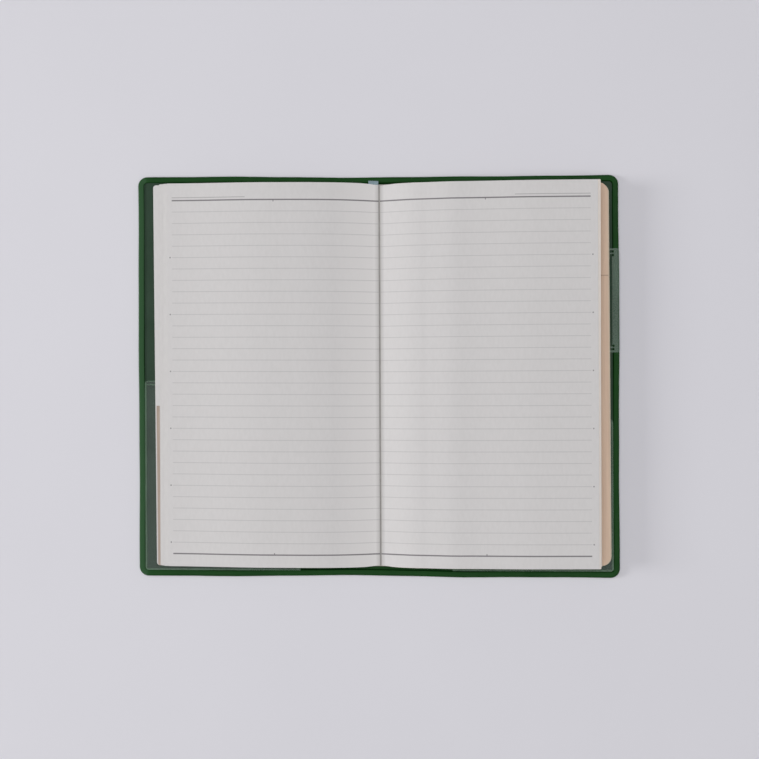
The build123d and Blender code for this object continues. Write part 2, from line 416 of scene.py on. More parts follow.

# %% [markdown]
# The head and tail of a real cover draw in a little at the spine, and its edges are never quite straight: the
# card slot pushes the fore-edge out, and the tail sags in the back half. Then the blank is cut in two at the
# middle of the spine, into a front and a back half.

# %% Ease the cover and part it
spine_draw = 0.55 * MM
spine_draw_reach = 45 * MM
edge_wave = 0.10 * MM
fore_edge_waves = ((1, 17, 0.7), (0.5, 6.1, 0))
head_waves = ((1, 13, 0), (0.6, 5.3, 1.0))
slot_push = 0.30 * MM
slot_push_y = 40 * MM
slot_push_reach = 35 * MM
tail_sag = 0.40 * MM
tail_sag_x = 40 * MM
tail_sag_reach = 26 * MM
lit_edge_share = 0.85
lit_edge_width = 4.5 * MM
lit_edge_fade = 1.5 * MM


def bell(value, middle, spread_by):
    """Rises to 1 at a middle and falls away on both sides."""
    return math.exp(-((value - middle) / spread_by) ** 2)


def eased_x(x, y):
    """Where a point of the cover lies across, with its fore-edge wandering slightly."""
    swing = edge_wave * waves(y, *fore_edge_waves)
    push = slot_push * bell(y, slot_push_y, slot_push_reach) if x > 0 else 0
    return racked(x + (swing + push) * x / cover_high.x, y)


def ease_cover(point):
    """Draws the cover in at the spine, and lets its edges wander slightly."""
    reach = point.y / cover_high.y
    wander = waves(point.x, *head_waves)
    drawn = spine_draw * bell(point.x, spine_middle_x, spine_draw_reach) * reach
    sag = tail_sag * bell(point.x, tail_sag_x, tail_sag_reach) * max(-reach, 0) ** 2
    new_y = point.y - drawn - sag + edge_wave * wander * reach * abs(reach)
    return Vector((eased_x(point.x, point.y), new_y, point.z))


# Painted light: a strip along the front edge is marked to be painted lighter, as lit from the left.
thumbed = cover.data.attributes.new("thumbed", "FLOAT", "POINT")
for point in cover.data.vertices:
    rise = smooth_step((cover_low.x + lit_edge_width - point.co.x) / lit_edge_fade)
    thumbed.data[point.index].value = lit_edge_share * rise
mould(cover, ease_cover)
skins = {"front": cover, "back": copy_piece(cover, "back_cover_skin")}
cover.name = "front_cover_skin"
for half, skin in skins.items():
    edit_piece(skin)
    bpy.ops.mesh.select_all(action="SELECT")
    bpy.ops.mesh.bisect(plane_co=(spine_middle_x, 0, 0), plane_no=(1, 0, 0), use_fill=True,
                        clear_outer=half == "front", clear_inner=half == "back")
    dress(skin, "green_vinyl", cover_vinyl)
    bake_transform(skin)
    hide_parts(f"{half}_cover_sheet", f"{half}_cover_rim")
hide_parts("spine_sheet")
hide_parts("spine_rims")

# %% [markdown]
# ## Paper
#
# The plain leaves are thin uncoated paper, and the index leaves are heavier tan paper, greyer and darker on
# the left. All have fibres: a noise stretched along the leaf, too fine to see as a pattern but enough to
# break up the even colour. On the right, a thin painted shadow lies across the tan where the upper tab ends.
# Endpaper is a paler stock, used low in the right half and again just under its open page, and is made
# paler still, as painted light against the shade beside the page block.

# %% Paper
fibre_scale = 900
fibre_depth = 0.03 * MM
page_grain = (1, 0.4, 1)
tab_edge_y = 43.7 * MM
# A thin painted shadow across the tan paper, where the upper tab ends:
tab_shadow_half = 0.12 * MM
tab_shadow_edge = 0.30 * MM
tab_shadow_share = 0.6
tab_shadow_tone = (0.42, 0.29, 0.21, 1)


def paper(name, pale, dark, stretch):
    """Uncoated paper with fibres along one direction."""
    finish, tree, shader = new_finish(name, Specular_IOR_Level=0.2)
    fibres = object_noise(tree, fibre_scale, 3, stretch)
    tone = mix(tree, ramp(tree, fibres, 0.32, 0.68), pale, dark)
    feed(tree, shader, Base_Color=tone, Roughness=ramp(tree, fibres, 0.3, 0.7, 0.82, 0.92))
    add_bump(tree, shader, fibres, 0.08, fibre_depth)
    return finish, tree, shader, tone


page_paper = paper("page_paper", (0.665, 0.648, 0.642, 1), (0.64, 0.623, 0.617, 1), page_grain)[0]
index_paper, index_tree, index_shader, index_tone = paper("index_paper", (0.76, 0.575, 0.44, 1),
                                                          (0.69, 0.51, 0.39, 1), (1.1, 0.03, 1.1))
# Painted shadow: a thin darker line across the tan paper where the upper tab ends.
index_place = add_node(index_tree, "ShaderNodeTexCoord").outputs["Object"]
index_height = add_node(index_tree, "ShaderNodeSeparateXYZ", Vector=index_place).outputs["Y"]
off_tab = apart(index_tree, index_height, tab_edge_y)
tab_shadow_line = ramp(index_tree, off_tab, tab_shadow_half, tab_shadow_edge, tab_shadow_share, 0.0)
feed(index_tree, index_shader, Base_Color=mix(index_tree, tab_shadow_line, index_tone, tab_shadow_tone))
# The front index paper is greyer and darker than the back one.
thumbed_paper = paper("thumbed_paper", (0.45, 0.365, 0.31, 1), (0.39, 0.305, 0.255, 1), (2.2, 0.06, 2.2))[0]
cream_paper = paper("cream_paper", (0.70, 0.61, 0.49, 1), (0.66, 0.57, 0.45, 1), page_grain)[0]
# Partly painted light: the endpaper is made pale against the shade beside the page block where it shows.
endpaper = paper("endpaper", (0.86, 0.79, 0.73, 1), (0.82, 0.75, 0.69, 1), page_grain)[0]
# Painted shade: the dark roof paper shows as the shaded slit of the gutter.
glued_paper = paper("glued_paper", (0.37, 0.355, 0.34, 1), (0.32, 0.305, 0.29, 1), page_grain)[0]
paper_finishes = (page_paper, index_paper, thumbed_paper, cream_paper, endpaper, glued_paper)
print("paper finishes:", [finish.name for finish in paper_finishes])

# %% [markdown]
# ## How a leaf lies
#
# A leaf is bound at the back, climbs out of the gutter in a curve and then lies flat on the leaves below. All
# the leaves of a half have the same curve, scaled by how high they lie, so one curve of four control points
# serves for every leaf. Away from the bend the half settles in smooth steps: the front one sinks towards its
# fore-edge, where its leaves lie close, and the back one keeps rising, with air between its leaves.

# %% How a leaf lies
bend_knots = {
    "front": ((1, 0.23), (0.3, 0.3), (-0.6, 0.96), (-2.6, 1)),
    "back": ((1, 0.21), (0.2, 0.5), (-0.6, 0.92), (-1.35, 1)),
}
bend_points = 60
flat_reach = {half: -knots[-1][0] for half, knots in bend_knots.items()}
settle_start = {"front": 0.735, "back": 0.65}
settle_steps = {
    "front": ((4, 24, 0.155), (42, 46, -0.42)),
    "back": ((8, 18, 0.25), (28, 32, 0.155)),
}
bends = {}
for half, knots in bend_knots.items():
    places = interpolate_bezier(*[Vector((*knot, 0)) for knot in knots], bend_points)
    runs = [0.0]
    for before, after in zip(places, places[1:]):
        runs.append(runs[-1] + (after - before).length)
    bends[half] = (runs, places)


def settle(half, out):
    """How much of its height a half keeps; a step is its start and length in mm, and its change."""
    steps = settle_steps[half]
    changes = (change * smooth_step((out / MM - start) / length) for start, length, change in steps)
    return settle_start[half] + sum(changes)


def leaf_place(half, height, run):
    """Where a point of a leaf lies across the book, from its run along the leaf."""
    runs, places = bends[half]
    share = run / height
    if share < runs[-1]:
        after = bisect(runs, share)
        part = (share - runs[after - 1]) / (runs[after] - runs[after - 1])
        place = places[after - 1].lerp(places[after], part) * height
        out, up = -place.x, place.y
    else:
        out = (flat_reach[half] + share - runs[-1]) * height
        up = height
    return bound_x[half] + SIDES[half] * out, leaf_level + up * settle(half, out)


print("run along the bend, in leaf heights:", [round(bends[half][0][-1], 2) for half in SIDES])

# %% [markdown]
# ## A flat leaf
#
# Each kind of leaf is cut once as a flat blank, as a paper cutter would: a plane with its two outer corners
# rounded. Lines are cut across the blank where it will bend. An index leaf with a tab loses the strip of its
# fore-edge above or below the tab. The sewing draws a leaf in a little at the gutter, at its head and tail,
# and each half lies turned in the cover by a hair, so its fore-edge swings towards the head.

# %% A flat leaf
bend_span = (0.7 * MM, 21 * MM)
flat_start = 25 * MM
flat_margin = 5 * MM
gutter_draw = 0.4 * MM
draw_reach = 4 * MM
half_swing = {"front": 0.0020, "back": 0.0060}


def leaf_blank(name, half, width, radius, bend_lines, flat_lines, head=leaf_head):
    """A flat leaf with its bound edge at x = 0."""
    side = SIDES[half]
    blank = start_piece(name, bpy.ops.mesh.primitive_plane_add, extent=(width, head - leaf_tail, 1),
                        middle=(side * width / 2, (head + leaf_tail) / 2, 0))
    pick(blank, "VERT", lambda point: abs(point.co.x) > width / 2)
    bpy.ops.mesh.bevel(offset=radius, segments=6, affect="VERTICES")
    places = spread(*bend_span, bend_lines) + spread(flat_start, width - flat_margin, flat_lines)
    cut_lines(blank, (1, 0, 0), [side * place for place in places])
    select_only(blank)
    return blank


def cut_strip(leaf, half, width, strip, low_y, high_y):
    """Cuts a strip of the fore-edge away between two heights on a flat leaf."""
    edit_piece(leaf)
    cut_lines(leaf, (1, 0, 0), [SIDES[half] * (width - strip)])
    cut_lines(leaf, (0, 1, 0), [y for y in (low_y, high_y) if leaf_tail < y < leaf_head])
    pick(leaf, "FACE", lambda face: abs(face.calc_center_median().x) > width - strip
         and low_y < face.calc_center_median().y < high_y)
    bpy.ops.mesh.delete(type="FACE")
    select_only(leaf)


def leaf_run(half, height, fore_edge):
    """How long a leaf is, along its bend and out to its fore-edge."""
    return (bends[half][0][-1] - flat_reach[half]) * height + fore_edge


def lay_leaf(leaf, half, height, width, fore_edge, slide=0.0, slant=0.0):
    """Bends a flat leaf into its place in the half; its fore-edge may slant from tail to head."""
    full_run = leaf_run(half, height, fore_edge)

    def rule(point):
        share = abs(point.x) / width
        x, z = leaf_place(half, height, share * full_run)
        near_end = smooth_step((abs(point.y - leaf_middle) - leaf_half) / draw_reach + 1)
        drawn = gutter_draw * near_end * math.exp(-(share * width / draw_reach) ** 2)
        swing = half_swing[half] * share * width
        y = point.y + slide + swing - math.copysign(drawn, point.y)
        return Vector((racked(x, y) - slant * share * y, y, z))

    mould(leaf, rule)


print("a leaf blank is", round(2 * leaf_half / MM, 1), "mm from tail to head")

# %% [markdown]
# ## The sections of leaves
#
# A section of the real book is a gathering of thin leaves. One slab would show no leaf edges, so each
# section is a stack of separate sheets, copied from the blank, laid one above the other with their edges a
# hair out of line. Lowest on the left lie white flyleaves and a few tan index leaves with a tab at the foot.
# Lowest on the right lie cream leaves, rounded tan index leaves and a section of endpaper.

# %% The kinds of stack
page_trim = {"front": 0.15 * MM, "back": 0.45 * MM}
section = {"leaves": 9, "finish": page_paper, "slot": "page_paper", "radius": 0.35 * MM, "scatter": 0.2}
low_section = dict(section, finish=endpaper, lead=0.30 * MM, scatter=0.05)
high_section = dict(low_section, lead=0.55 * MM, slant=-0.0025)
flyleaves = dict(section, leaves=5, radius=1.2 * MM, scatter=0.05, slant=0.0060, head_trim=0.4 * MM,
                 lead=0.20 * MM)
index = dict(section, slot="index_paper", scatter=0.05)
front_index = dict(index, leaves=3, finish=thumbed_paper, radius=0.8 * MM, slant=0.0060, lead=-0.45 * MM,
                   cut_leaves=3, cut=(3.1 * MM, -13.1 * MM, leaf_head))
back_index = dict(index, leaves=8, finish=index_paper, radius=4.0 * MM, slant=0.0030, lead=0.0,
                  cut_leaves=2, cut=(6.0 * MM, leaf_tail, 43.1 * MM), cream_leaves=2)
stacks = {
    "front": {"front_flyleaves": flyleaves, "front_index_leaves": front_index,
              **{f"front_page_section_{number}": section for number in (1, 2, 3)}},
    "back": {"back_index_leaves": back_index, "back_page_section_1": low_section,
             "back_page_section_2": section, "back_page_section_3": section,
             "back_page_section_4": high_section},
}
top_stack = {half: list(kinds)[-1] for half, kinds in stacks.items()}
stack_lines = (22, 14)
leaf_thickness = 0.07 * MM
slide_play = 0.12
open_gap = 0.4 * MM
cream_reach = 0.7 * MM
edge_lead = {"front": 0.35 * MM, "back": -0.50 * MM}


def stack_facts(half, node):
    """A stack's lowest and highest leaf, how far its leaves are shifted, and how wide they are."""
    low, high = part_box(node)
    hinge_x = joints[f"{body_of_node[node]}_turn"]["pos_m"][0]
    shift = 2 * abs(hinge_x - bound_x[half])
    outer = ends_across(half, low, high)[1]
    highest = min(high.z - leaf_level, open_height[half] - open_gap)
    return low.z - leaf_level, highest, shift, abs(outer - bound_x[half]) + shift


def follow_section(piece, half, node):
    """Reads a stack's lowest and highest leaf, and bakes a piece's place into its mesh."""
    low, high, _, _ = stack_facts(half, node)
    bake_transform(piece)


print("stacks of leaves:", sum(len(kinds) for kinds in stacks.values()))

# %% The sections of leaves
rng = random.Random(11)


def lay_stack(half, node, kind):
    """Lays all the leaves of a stack, and joins them into one piece."""
    low, high, shift, width = stack_facts(half, node)
    head = leaf_head - kind.get("head_trim", page_trim[half])
    blank = leaf_blank(f"{node}_leaf", half, width, kind["radius"], *stack_lines, head)
    leaves = []
    for number in range(kind["leaves"]):
        leaf = copy_piece(blank, f"{node}_leaf_{number}")
        if number >= kind["leaves"] - kind.get("cut_leaves", 0):
            cut_strip(leaf, half, width, *kind["cut"])
        cream = number < kind.get("cream_leaves", 0)
        set_back = cream_reach if "cream_leaves" in kind and not cream else 0
        leaf.data.materials.append(cream_paper if cream else kind["finish"])
        height = low + (high - low) * (number + 1) / kind["leaves"]
        lead = kind.get("lead", edge_lead[half]) - set_back
        fore_edge = width - shift + lead + rng.gauss(0, kind["scatter"]) * MM
        slide = rng.uniform(-slide_play, slide_play) * MM
        lay_leaf(leaf, half, height, width, fore_edge, slide, kind.get("slant", 0))
        leaves.append(leaf)
    bpy.data.objects.remove(blank)
    select_only(leaves[0])
    for leaf in leaves:
        leaf.select_set(True)
    bpy.ops.object.join()
    leaves[0].name = f"{node}_stack"
    return leaves[0]


for half, kinds in stacks.items():
    for node, kind in kinds.items():
        stack = lay_stack(half, node, kind)
        thicken(stack, leaf_thickness)
        dress(stack, kind["slot"])
        follow_section(stack, half, node)
        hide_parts(node)

# %% [markdown]
# ## The ruled print
#
# Both open pages are ruled with faint lines, a stronger line at the head and the foot, a short title line,
# dots that count every fifth row, and small ticks at half width. The print has to follow the paper when it
# bends, so it reads the leaf's own UV map, which holds millimetres across from the gutter and up from the
# tail, divided by a span to stay inside the map. So all the sizes of the print are in millimetres. Near the
# gutter the paper is painted a little whiter, as painted light on the slope where the page climbs out of
# it, and right at the fold it is painted darker, as painted shade in the fold.

# %% The ruled print
UV_SPAN = 200.0
row_count = 31
row_pitch = 4.947
head_margin = 7.6
page_height = 2 * leaf_half / MM
rule_depth = row_count * row_pitch
half_depth = rule_depth / 2
print_soft = 0.1
row_half = 0.09
row_edge = 0.24
row_clear = 2
row_strength = 0.32
row_ink = (0.30, 0.29, 0.30, 1)
line_half = 0.24
line_strength = 0.9
line_ink = (0.17, 0.16, 0.17, 1)
title_rise = 1.25
title_half = 0.12
title_reach = 16
title_strength = 0.6
tick_half = 0.16
tick_shift = 0.8
tick_drop = 0.5
tick_reach = 0.3
dot_gap = 0.9
dot_rows = 5
dot_radius = 0.25
dot_edge = 0.4
dot_clear = 3
mark_strength = 0.75
mark_ink = (0.16, 0.15, 0.16, 1)
page_pale = (0.66, 0.642, 0.64, 1)
page_dark = (0.64, 0.623, 0.62, 1)
gutter_light_tone = (0.78, 0.757, 0.75, 1)
# Painted shade at the fold:
fold_shade_tone = (0.40, 0.385, 0.375, 1)
fold_shade = {"start": 0.1, "end": 1.9, "share": 0.6}
# Painted light near the gutter: where it starts and ends in mm, and how strong it is.
gutter_light = {
    "front": {"start": 5, "end": 20.5, "share": 1.0},
    "back": {"start": 6, "end": 30, "share": 0.12},
}


def band(tree, value, middle, half_width):
    """1 where a value is near a middle, and 0 elsewhere, with a soft edge."""
    return ramp(tree, apart(tree, value, middle), half_width, half_width + print_soft, 1.0, 0.0)


def at_both(tree, value, from_ends, half_width):
    """1 at the same distance from both ends of the ruled depth."""
    first = band(tree, value, from_ends, half_width)
    return larger(tree, first, band(tree, value, rule_depth - from_ends, half_width))


def fade_out(tree, value, shade):
    """A share that fades to nothing away from the gutter."""
    return ramp(tree, value, shade["start"], shade["end"], shade["share"], 0.0)


def off_pitch(tree, value, pitch):
    """How far a value is from the nearest multiple of a pitch."""
    count = math_node(tree, "DIVIDE", value, pitch)
    return times(tree, apart(tree, count, math_node(tree, "ROUND", count)), pitch)


def ruled_page(name, rule_end, gutter_light_reach):
    """Page paper with printed rules that end rule_end millimetres from the gutter."""
    finish, tree, shader, tone = paper(name, page_pale, page_dark, page_grain)
    uv = add_node(tree, "ShaderNodeUVMap", {"uv_map": "print"}).outputs["UV"]
    split = add_node(tree, "ShaderNodeSeparateXYZ", Vector=uv)
    across = times(tree, split.outputs["X"], UV_SPAN)
    # Painted light: near the gutter the paper is made whiter.
    tone = mix(tree, fade_out(tree, across, gutter_light_reach), tone, gutter_light_tone)
    # Painted shade: right at the fold the paper is made darker.
    tone = mix(tree, fade_out(tree, across, fold_shade), tone, fold_shade_tone)
    up = times(tree, split.outputs["Y"], UV_SPAN)
    down = math_node(tree, "SUBTRACT", page_height - head_margin, up)
    in_width = ramp(tree, across, rule_end, rule_end + print_soft, 1.0, 0.0)
    in_rows = band(tree, down, half_depth, half_depth - row_clear)
    row_lines = ramp(tree, off_pitch(tree, down, row_pitch), row_half, row_edge, 1.0, 0.0)
    thin = times(tree, times(tree, row_lines, in_rows), in_width)
    strong = times(tree, at_both(tree, down, 0, line_half), in_width)
    title_width = band(tree, across, rule_end - title_reach, title_reach)
    title = times(tree, band(tree, down, -title_rise, title_half), title_width)
    tick_width = band(tree, across, rule_end / 2 + tick_shift, tick_half)
    ticks = times(tree, tick_width, at_both(tree, down, tick_drop, tick_reach))
    beside = math_node(tree, "SUBTRACT", across, rule_end + dot_gap)
    fifth = off_pitch(tree, down, dot_rows * row_pitch)
    squares = [math_node(tree, "POWER", off, 2.0) for off in (beside, fifth)]
    off_dot = math_node(tree, "SQRT", math_node(tree, "ADD", *squares))
    dots = ramp(tree, off_dot, dot_radius, dot_edge, 1.0, 0.0)
    dots = times(tree, dots, band(tree, down, half_depth, half_depth - dot_clear))
    tone = mix(tree, times(tree, thin, row_strength), tone, row_ink)
    marks = larger(tree, times(tree, title, title_strength), ticks)
    marks = times(tree, larger(tree, marks, dots), mark_strength)
    tone = mix(tree, marks, tone, mark_ink)
    tone = mix(tree, times(tree, strong, line_strength), tone, line_ink)
    feed(tree, shader, Base_Color=tone)
    return finish


print("ruled rows:", row_count, "of", row_pitch, "mm")

# %% [markdown]
# ## The open leaves
#
# The two leaves on top carry the print. They are cut from a finer blank than the others, so that the light
# rolls smoothly over the bend, and they keep a slight cockle from handling. Each also stands for the frame's
# block of bent leaves beside the back, which its own curve now shows.

# %% The open leaves
rule_margin = {"front": 2.15, "back": 3.15}
open_lines = (42, 24)
open_rows = 30
open_row_margin = 4 * MM
cockle = 0.04 * MM
cockle_start = 12
cockle_fade = 25
cockle_length_x = 33 * MM
cockle_length_y = 21 * MM


def add_print_map(leaf, width, full_run):
    """Stores on a flat leaf how far each corner of a face is from the gutter and from the tail."""
    layer = leaf.data.uv_layers.new(name="print")
    for corner in leaf.data.loops:
        place = leaf.data.vertices[corner.vertex_index].co
        across = abs(place.x) / width * full_run / MM
        layer.data[corner.index].uv = (across / UV_SPAN, (place.y - leaf_tail) / MM / UV_SPAN)


def ripple(point):
    """A slight cockle, away from the gutter."""
    reach = smooth_step((abs(point.x - gutter_x) / MM - cockle_start) / cockle_fade)
    wave = math.sin(point.y / cockle_length_y + point.x / cockle_length_x) - 1
    return Vector((point.x, point.y, point.z + cockle * reach * wave))


for half, node in top_stack.items():
    _, _, shift, width = stack_facts(half, node)
    height = open_height[half]
    fore_edge = width - shift + edge_lead[half]
    full_run = leaf_run(half, height, fore_edge)
    leaf = leaf_blank(f"{half}_ruled_leaf", half, width, section["radius"], *open_lines,
                      leaf_head - page_trim[half])
    edit_piece(leaf)
    cut_lines(leaf, (0, 1, 0), spread(leaf_tail + open_row_margin, leaf_head - open_row_margin, open_rows))
    select_only(leaf)
    add_print_map(leaf, width, full_run)
    lay_leaf(leaf, half, height, width, fore_edge)
    mould(leaf, ripple)
    thicken(leaf, leaf_thickness)
    rule_end = full_run / MM - rule_margin[half]
    dress(leaf, "page_paper", ruled_page(f"{half}_page", rule_end, gutter_light[half]))
    follow_section(leaf, half, node)
    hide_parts(f"{half}_open_leaf", f"{half}_leaf_bends")

# %% [markdown]
# ## The sewn back
#
# The folded edges of the leaves are sewn and glued together into a low roof, highest at the gutter. It is a
# block with a line cut along the gutter, raised there and rounded. Its paper is painted dark, as painted
# shade in the slit between the open leaves.

# %% The sewn back
roof_clearance = 0.12 * MM
ridge_rounding = 0.8 * MM
roof_side = leaf_level - roof_clearance
roof_slope = {half: bend_knots[half][0][1] * settle_start[half] for half in SIDES}
roof_rise = min(roof_slope[half] * abs(gutter_x - bound_x[half]) for half in SIDES)


def on_ridge(point, lowest):
    """A point of the roof over the gutter, above a level."""
    return abs(point.co.x - gutter_x) < touch and point.co.z > lowest


sewn = start_piece("sewn_roof", bpy.ops.mesh.primitive_cube_add,
                   extent=(sewn_high.x - sewn_low.x, 2 * (leaf_half - gutter_draw), roof_side - sewn_low.z),
                   middle=(spine_middle_x, leaf_middle, (roof_side + sewn_low.z) / 2))
cut_lines(sewn, (1, 0, 0), [gutter_x])
pick(sewn, "VERT", lambda point: on_ridge(point, roof_side - touch))
bpy.ops.transform.translate(value=(0, 0, roof_rise))
pick(sewn, "EDGE", lambda edge: all(on_ridge(point, roof_side) for point in edge.verts))
bpy.ops.mesh.bevel(offset=ridge_rounding, segments=3)
select_only(sewn)
mould(sewn, lambda point: racked_point(*point))
# Painted shade: the roof is dark paper, seen as the dark gutter slit.
dress(sewn, "page_paper", glued_paper)
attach(sewn, "spine")
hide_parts("sewn_back")

# %% [markdown]
# ## The inner sleeves
#
# A sleeve is a second sheet of the same vinyl, welded to the bead on three sides, that the card slips into.
# Only a narrow band of it shows. It is a plane with rounded corners, cut into a net and moulded: flat at the
# weld, then puffed a little with small puckers beside the bead, as welded sheet has.

# %% The inner sleeves
inner_radius = corner_radius - rim_width
sleeve_lines = (0.5, 1.0, 1.6, 2.4, 3.4, 4.8, 6.5, 9, 13, 20, 32, 46)
sleeve_rows = 72
sleeve_margin = 1.5 * MM
sleeve_sink = 0.15
puff_size = 0.10
puff_run = 1.2
pucker_size = 0.05
pucker_run = 1.0
pucker_start = 3
pucker_fade = 6
pucker_waves = ((1, 2.1, 0), (0.7, 5.7, 2.0))


def cover_sheet(name, x_ends, y_ends, outer_x, radius, x_lines, y_lines):
    """A flat sheet inside the cover, rounded at its outer corners and cut into a net."""
    sheet = start_piece(name, bpy.ops.mesh.primitive_plane_add,
                        extent=(x_ends[1] - x_ends[0], y_ends[1] - y_ends[0], 1),
                        middle=((x_ends[0] + x_ends[1]) / 2, (y_ends[0] + y_ends[1]) / 2, 0))
    pick(sheet, "VERT", lambda point: abs(point.co.x - outer_x) < touch)
    bpy.ops.mesh.bevel(offset=radius, segments=5, affect="VERTICES")
    cut_lines(sheet, (1, 0, 0), x_lines)
    cut_lines(sheet, (0, 1, 0), y_lines)
    select_only(sheet)
    return sheet


for half, side in SIDES.items():
    low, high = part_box(f"{half}_sleeve")
    outer_x = ends_across(half, low, high)[1]
    x_lines = [outer_x - side * place * MM for place in sleeve_lines]
    y_lines = spread(low.y + sleeve_margin, high.y - sleeve_margin, sleeve_rows)
    sleeve = cover_sheet(f"{half}_inner_sleeve", (low.x, high.x), (low.y, high.y), outer_x, inner_radius,
                         x_lines, y_lines)

    def pucker(point):
        """Small puckers beside the weld, which fade out inwards."""
        inward = abs(outer_x - point.x) / MM
        fade = smooth_step(inward / pucker_run) * (1 - smooth_step((inward - pucker_start) / pucker_fade))
        wave = waves(point.y, *pucker_waves)
        lift = puff_size * smooth_step(inward / puff_run) + pucker_size * fade * wave
        return racked_point(point.x, point.y, high.z + (lift - sleeve_sink) * MM)

    mould(sleeve, pucker)
    thicken(sleeve, high.z - low.z)
    dress(sleeve, "green_vinyl", sleeve_vinyl)
    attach(sleeve, f"{half}_cover")
    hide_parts(f"{half}_sleeve")

# %% [markdown]
# ## Clear pockets
#
# The pockets are clear vinyl that has gone slightly milky. Real clear sheet both lets the green through and
# reflects the light, so the shader is glossy, mostly see-through and a little grey. The welded edges are
# denser, with a second, milkier finish on a narrow ridge round the sheet and on the hem at the top. Its
# paler lines are partly painted highlights along those ridges.

# %% Clear pockets
film_scale = 180
film_stretch = (1, 0.35, 1)
film_depth = 0.2 * MM
milky_share = 0.8


def clear_vinyl(name, tone, alpha, rough):
    """Aged clear sheet: glossy, faintly milky and slightly uneven."""
    finish, tree, shader = new_finish(name, Alpha=alpha, Specular_IOR_Level=0.3)
    swells = object_noise(tree, film_scale, 2, film_stretch)
    milky = [channel * milky_share for channel in tone[:3]] + [1]
    feed(tree, shader, Base_Color=mix(tree, ramp(tree, swells, 0.35, 0.65), milky, tone),
         Roughness=ramp(tree, swells, 0.3, 0.7, rough, rough + 0.15))
    add_bump(tree, shader, swells, 0.3, film_depth)
    return finish


pocket_film = clear_vinyl("pocket_film", (0.12, 0.16, 0.135, 1), 0.22, 0.25)
# Partly painted highlight: the milkier weld finish also draws the light lines along the ridges.
pocket_weld = clear_vinyl("pocket_weld", (0.15, 0.25, 0.165, 1), 0.42, 0.20)
weld_width = 0.7 * MM
end_weld = 2.0 * MM
weld_rise = 0.10 * MM
ridge_flat = 0.6
ridge_fade = 0.8
pocket_lines = (weld_width, 2 * MM, 4 * MM, 8 * MM, 16 * MM, 30 * MM)
pocket_rows = 18
pocket_foot = 2 * MM
pocket_top = 2.6 * MM
hem_lines = (1.9 * MM, 1.5 * MM, 0.4 * MM)
hem_middle = 1.0 * MM
hem_half = 0.75 * MM
film_waves = ((0.04, 4.3, 0), (0.03, 1.9, 1))
film_sink = 0.05 * MM
film_thickness = 0.2 * MM

for half, side in SIDES.items():
    node = f"{half}_clear_pocket"
    low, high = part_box(node)
    inner_x, outer_x = ends_across(half, low, high)
    x_lines = [outer_x - side * place for place in pocket_lines]
    x_lines.append(inner_x + side * end_weld)
    y_lines = [low.y + weld_width] + spread(low.y + pocket_foot, high.y - pocket_top, pocket_rows)
    y_lines += [high.y - place for place in hem_lines]
    film = cover_sheet(f"{node}_film", (low.x, high.x), (low.y, high.y), outer_x, inner_radius,
                       x_lines, y_lines)

    def bulge(point):
        """Slightly raised at the welds and the hem, and gently uneven between them."""
        from_edge = min(abs(outer_x - point.x), point.y - low.y) / weld_width
        weld = 1 - smooth_step((from_edge - ridge_flat) / ridge_fade)
        hem = abs(point.y - (high.y - hem_middle)) < hem_half
        wave = waves(point.y, *film_waves)
        lift = weld_rise * max(weld, 1.0 if hem else 0.0) + wave * MM * (1 - weld)
        return racked_point(point.x, point.y, high.z - film_sink + lift)

    for finish in (pocket_film, pocket_weld):
        film.data.materials.append(finish)
    # The welds and the hem get the milkier finish, partly a painted highlight along the ridges.
    for face in film.data.polygons:
        at_weld = abs(face.center.x - outer_x) < weld_width or face.center.y - low.y < weld_width
        at_end = abs(face.center.x - inner_x) < end_weld
        from_top = high.y - face.center.y
        at_hem = from_top < hem_lines[2] or hem_lines[1] < from_top < hem_lines[0]
        face.material_index = 1 if at_weld or at_end or at_hem else 0
    mould(film, bulge)
    thicken(film, film_thickness)
    dress(film, "clear_vinyl")
    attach(film, f"{half}_cover")
    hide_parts(node)

# %% [markdown]
# ## The card slot
#
# The slot for a card is a wider strip of the same clear sheet, which is welded right over the bead, so the
# bead looks grey-green along it. A long slit beside the bead and two short ones at each end let a card in. It
# is cut and moulded as the pockets are, but climbs over the bead.

# %% The card slot
slot_film = clear_vinyl("slot_film", (0.19, 0.28, 0.215, 1), 0.36, 0.25)
slot_low, slot_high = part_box("back_card_slot")
slot_head_drop = 1.4 * MM
slot_foot_drop = 1.6 * MM
slot_high.y -= slot_head_drop
slot_low.y -= slot_foot_drop
slot_radius = 0.5 * MM
slot_margin = 5 * MM
slot_thickness = 0.12 * MM
slot_waves = ((0.03, 4.3, 0),)
bead_inner = cover_high.x - rim_width
slot_edge = cover_high.x - 0.12 * MM
slit_ends = ((0.9, 1.9), (2.5, 3.4))
slit_span = (bead_inner - 2.4 * MM, bead_inner + 0.3 * MM)
long_slit = (slit_span[0], bead_inner - 0.6 * MM)
climb_run = 0.9 * MM
climb_lead = 0.55
fall_run = 0.8 * MM
fall_depth = 0.3 * MM
bead_clearance = 0.08 * MM
slot_lines = [slot_low.y + end * MM for slit in slit_ends for end in slit]
slot_lines += [slot_high.y - end * MM for slit in slit_ends for end in slit]
slot_lines += spread(slot_low.y + slot_margin, slot_high.y - slot_margin, 14)
climb_lines = spread(long_slit[1], slot_edge - 0.2 * MM, 12)
slot = cover_sheet("back_card_slot_film", (slot_low.x, slot_edge), (slot_low.y, slot_high.y), slot_edge,
                   slot_radius, [slit_span[0], bead_inner - 12 * MM, slit_span[1]] + climb_lines, slot_lines)


